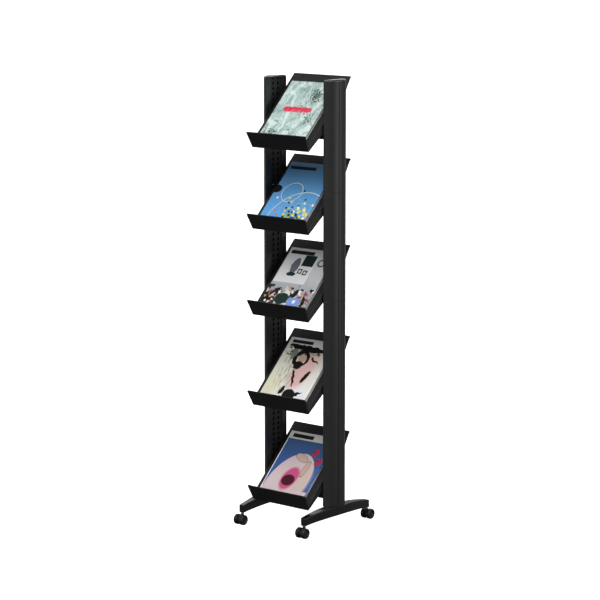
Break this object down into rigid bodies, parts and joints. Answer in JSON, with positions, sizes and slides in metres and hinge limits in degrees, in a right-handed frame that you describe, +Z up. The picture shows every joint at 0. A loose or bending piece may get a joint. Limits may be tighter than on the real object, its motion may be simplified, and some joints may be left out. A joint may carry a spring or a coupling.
{
  "type": "newspaper rack",
  "caption": "Tall mobile newspaper and magazine rack: sloping lipped trays hooked between two perforated D-section posts on arched feet with twin-wheel casters.",
  "frame": {"origin": "on the floor, midway between the posts and midway between front and rear casters", "axes": "+Z up; -Y towards the reader, the side the lips are on; X across the width"},
  "size_m": [0.358, 0.419, 1.6696],
  "materials": {
    "post_plastic": "black moulded plastic, fine satin grain",
    "rail_steel": "black powder-coated perforated steel",
    "tray_plastic": "black moulded plastic, satin grain",
    "hook_steel": "black zinc-plated steel",
    "foot_plastic": "black moulded plastic, semi-gloss",
    "caster_plastic": "black nylon",
    "wheel_plastic": "black nylon wheel",
    "bright_steel": "zinc-plated turned steel",
    "paper": "coated cover stock, glossy"
  },
  "bodies": {
    "frame": {"post_shell_left_1": "post_plastic", "post_shell_left_2": "post_plastic", "post_shell_left_3": "post_plastic", "post_shell_left_4": "post_plastic", "post_rail_left": "rail_steel", "post_cap_left": "post_plastic", "foot_left": "foot_plastic", "foot_bolt_left_front": "bright_steel", "foot_bolt_left_rear": "bright_steel", "post_shell_right_1": "post_plastic", "post_shell_right_2": "post_plastic", "post_shell_right_3": "post_plastic", "post_shell_right_4": "post_plastic", "post_rail_right": "rail_steel", "post_cap_right": "post_plastic", "foot_right": "foot_plastic", "foot_bolt_right_front": "bright_steel", "foot_bolt_right_rear": "bright_steel", "caster_front_left_stem": "bright_steel", "caster_front_right_stem": "bright_steel", "caster_rear_left_stem": "bright_steel", "caster_rear_right_stem": "bright_steel", "cross_bar_top": "rail_steel", "cross_bar_bottom": "rail_steel"},
    "caster_front_left": {"caster_front_left_body": "caster_plastic", "caster_front_left_axle": "bright_steel"},
    "caster_front_left_wheel_left": {"caster_front_left_wheel_left": "wheel_plastic"},
    "caster_front_left_wheel_right": {"caster_front_left_wheel_right": "wheel_plastic"},
    "caster_front_right": {"caster_front_right_body": "caster_plastic", "caster_front_right_axle": "bright_steel"},
    "caster_front_right_wheel_left": {"caster_front_right_wheel_left": "wheel_plastic"},
    "caster_front_right_wheel_right": {"caster_front_right_wheel_right": "wheel_plastic"},
    "caster_rear_left": {"caster_rear_left_body": "caster_plastic", "caster_rear_left_axle": "bright_steel"},
    "caster_rear_left_wheel_left": {"caster_rear_left_wheel_left": "wheel_plastic"},
    "caster_rear_left_wheel_right": {"caster_rear_left_wheel_right": "wheel_plastic"},
    "caster_rear_right": {"caster_rear_right_body": "caster_plastic", "caster_rear_right_axle": "bright_steel"},
    "caster_rear_right_wheel_left": {"caster_rear_right_wheel_left": "wheel_plastic"},
    "caster_rear_right_wheel_right": {"caster_rear_right_wheel_right": "wheel_plastic"},
    "tray_1": {"tray_1": "tray_plastic", "tray_1_hook_left": "hook_steel", "tray_1_hook_right": "hook_steel"},
    "magazine_1": {"magazine_1": "paper"},
    "tray_2": {"tray_2": "tray_plastic", "tray_2_hook_left": "hook_steel", "tray_2_hook_right": "hook_steel"},
    "magazine_2": {"magazine_2": "paper"},
    "tray_3": {"tray_3": "tray_plastic", "tray_3_hook_left": "hook_steel", "tray_3_hook_right": "hook_steel"},
    "magazine_3": {"magazine_3": "paper"},
    "tray_4": {"tray_4": "tray_plastic", "tray_4_hook_left": "hook_steel", "tray_4_hook_right": "hook_steel"},
    "magazine_4": {"magazine_4": "paper"},
    "tray_5": {"tray_5": "tray_plastic", "tray_5_hook_left": "hook_steel", "tray_5_hook_right": "hook_steel"},
    "magazine_5": {"magazine_5": "paper"}
  },
  "joints": [
    {"name": "caster_front_left_swivel", "type": "hinge", "parent": "frame", "child": "caster_front_left", "pos_m": [-0.151, -0.18, 0.0425], "axis": [0, 0, 1], "continuous": true},
    {"name": "caster_front_left_wheel_left_spin", "type": "hinge", "parent": "caster_front_left", "child": "caster_front_left_wheel_left", "pos_m": [-0.151, -0.19, 0.0195], "axis": [1, 0, 0], "continuous": true},
    {"name": "caster_front_left_wheel_right_spin", "type": "hinge", "parent": "caster_front_left", "child": "caster_front_left_wheel_right", "pos_m": [-0.151, -0.19, 0.0195], "axis": [1, 0, 0], "continuous": true},
    {"name": "caster_front_right_swivel", "type": "hinge", "parent": "frame", "child": "caster_front_right", "pos_m": [0.151, -0.18, 0.0425], "axis": [0, 0, 1], "continuous": true},
    {"name": "caster_front_right_wheel_left_spin", "type": "hinge", "parent": "caster_front_right", "child": "caster_front_right_wheel_left", "pos_m": [0.151, -0.19, 0.0195], "axis": [1, 0, 0], "continuous": true},
    {"name": "caster_front_right_wheel_right_spin", "type": "hinge", "parent": "caster_front_right", "child": "caster_front_right_wheel_right", "pos_m": [0.151, -0.19, 0.0195], "axis": [1, 0, 0], "continuous": true},
    {"name": "caster_rear_left_swivel", "type": "hinge", "parent": "frame", "child": "caster_rear_left", "pos_m": [-0.151, 0.18, 0.0425], "axis": [0, 0, 1], "continuous": true},
    {"name": "caster_rear_left_wheel_left_spin", "type": "hinge", "parent": "caster_rear_left", "child": "caster_rear_left_wheel_left", "pos_m": [-0.151, 0.19, 0.0195], "axis": [1, 0, 0], "continuous": true},
    {"name": "caster_rear_left_wheel_right_spin", "type": "hinge", "parent": "caster_rear_left", "child": "caster_rear_left_wheel_right", "pos_m": [-0.151, 0.19, 0.0195], "axis": [1, 0, 0], "continuous": true},
    {"name": "caster_rear_right_swivel", "type": "hinge", "parent": "frame", "child": "caster_rear_right", "pos_m": [0.151, 0.18, 0.0425], "axis": [0, 0, 1], "continuous": true},
    {"name": "caster_rear_right_wheel_left_spin", "type": "hinge", "parent": "caster_rear_right", "child": "caster_rear_right_wheel_left", "pos_m": [0.151, 0.19, 0.0195], "axis": [1, 0, 0], "continuous": true},
    {"name": "caster_rear_right_wheel_right_spin", "type": "hinge", "parent": "caster_rear_right", "child": "caster_rear_right_wheel_right", "pos_m": [0.151, 0.19, 0.0195], "axis": [1, 0, 0], "continuous": true},
    {"name": "tray_1_lift", "type": "slide", "parent": "frame", "child": "tray_1", "axis": [0, 0, 1], "range_m": [0, 0.0055]},
    {"name": "magazine_1_slide", "type": "slide", "parent": "tray_1", "child": "magazine_1", "axis": [0, 0.7071, 0.7071], "range_m": [0, 0.3]},
    {"name": "tray_2_lift", "type": "slide", "parent": "frame", "child": "tray_2", "axis": [0, 0, 1], "range_m": [0, 0.0055]},
    {"name": "magazine_2_slide", "type": "slide", "parent": "tray_2", "child": "magazine_2", "axis": [0, 0.7071, 0.7071], "range_m": [0, 0.3]},
    {"name": "tray_3_lift", "type": "slide", "parent": "frame", "child": "tray_3", "axis": [0, 0, 1], "range_m": [0, 0.0055]},
    {"name": "magazine_3_slide", "type": "slide", "parent": "tray_3", "child": "magazine_3", "axis": [0, 0.7071, 0.7071], "range_m": [0, 0.3]},
    {"name": "tray_4_lift", "type": "slide", "parent": "frame", "child": "tray_4", "axis": [0, 0, 1], "range_m": [0, 0.0055]},
    {"name": "magazine_4_slide", "type": "slide", "parent": "tray_4", "child": "magazine_4", "axis": [0, 0.7071, 0.7071], "range_m": [0, 0.3]},
    {"name": "tray_5_lift", "type": "slide", "parent": "frame", "child": "tray_5", "axis": [0, 0, 1], "range_m": [0, 0.0055]},
    {"name": "magazine_5_slide", "type": "slide", "parent": "tray_5", "child": "magazine_5", "axis": [0, 0.7071, 0.7071], "range_m": [0, 0.3]}
  ]
}
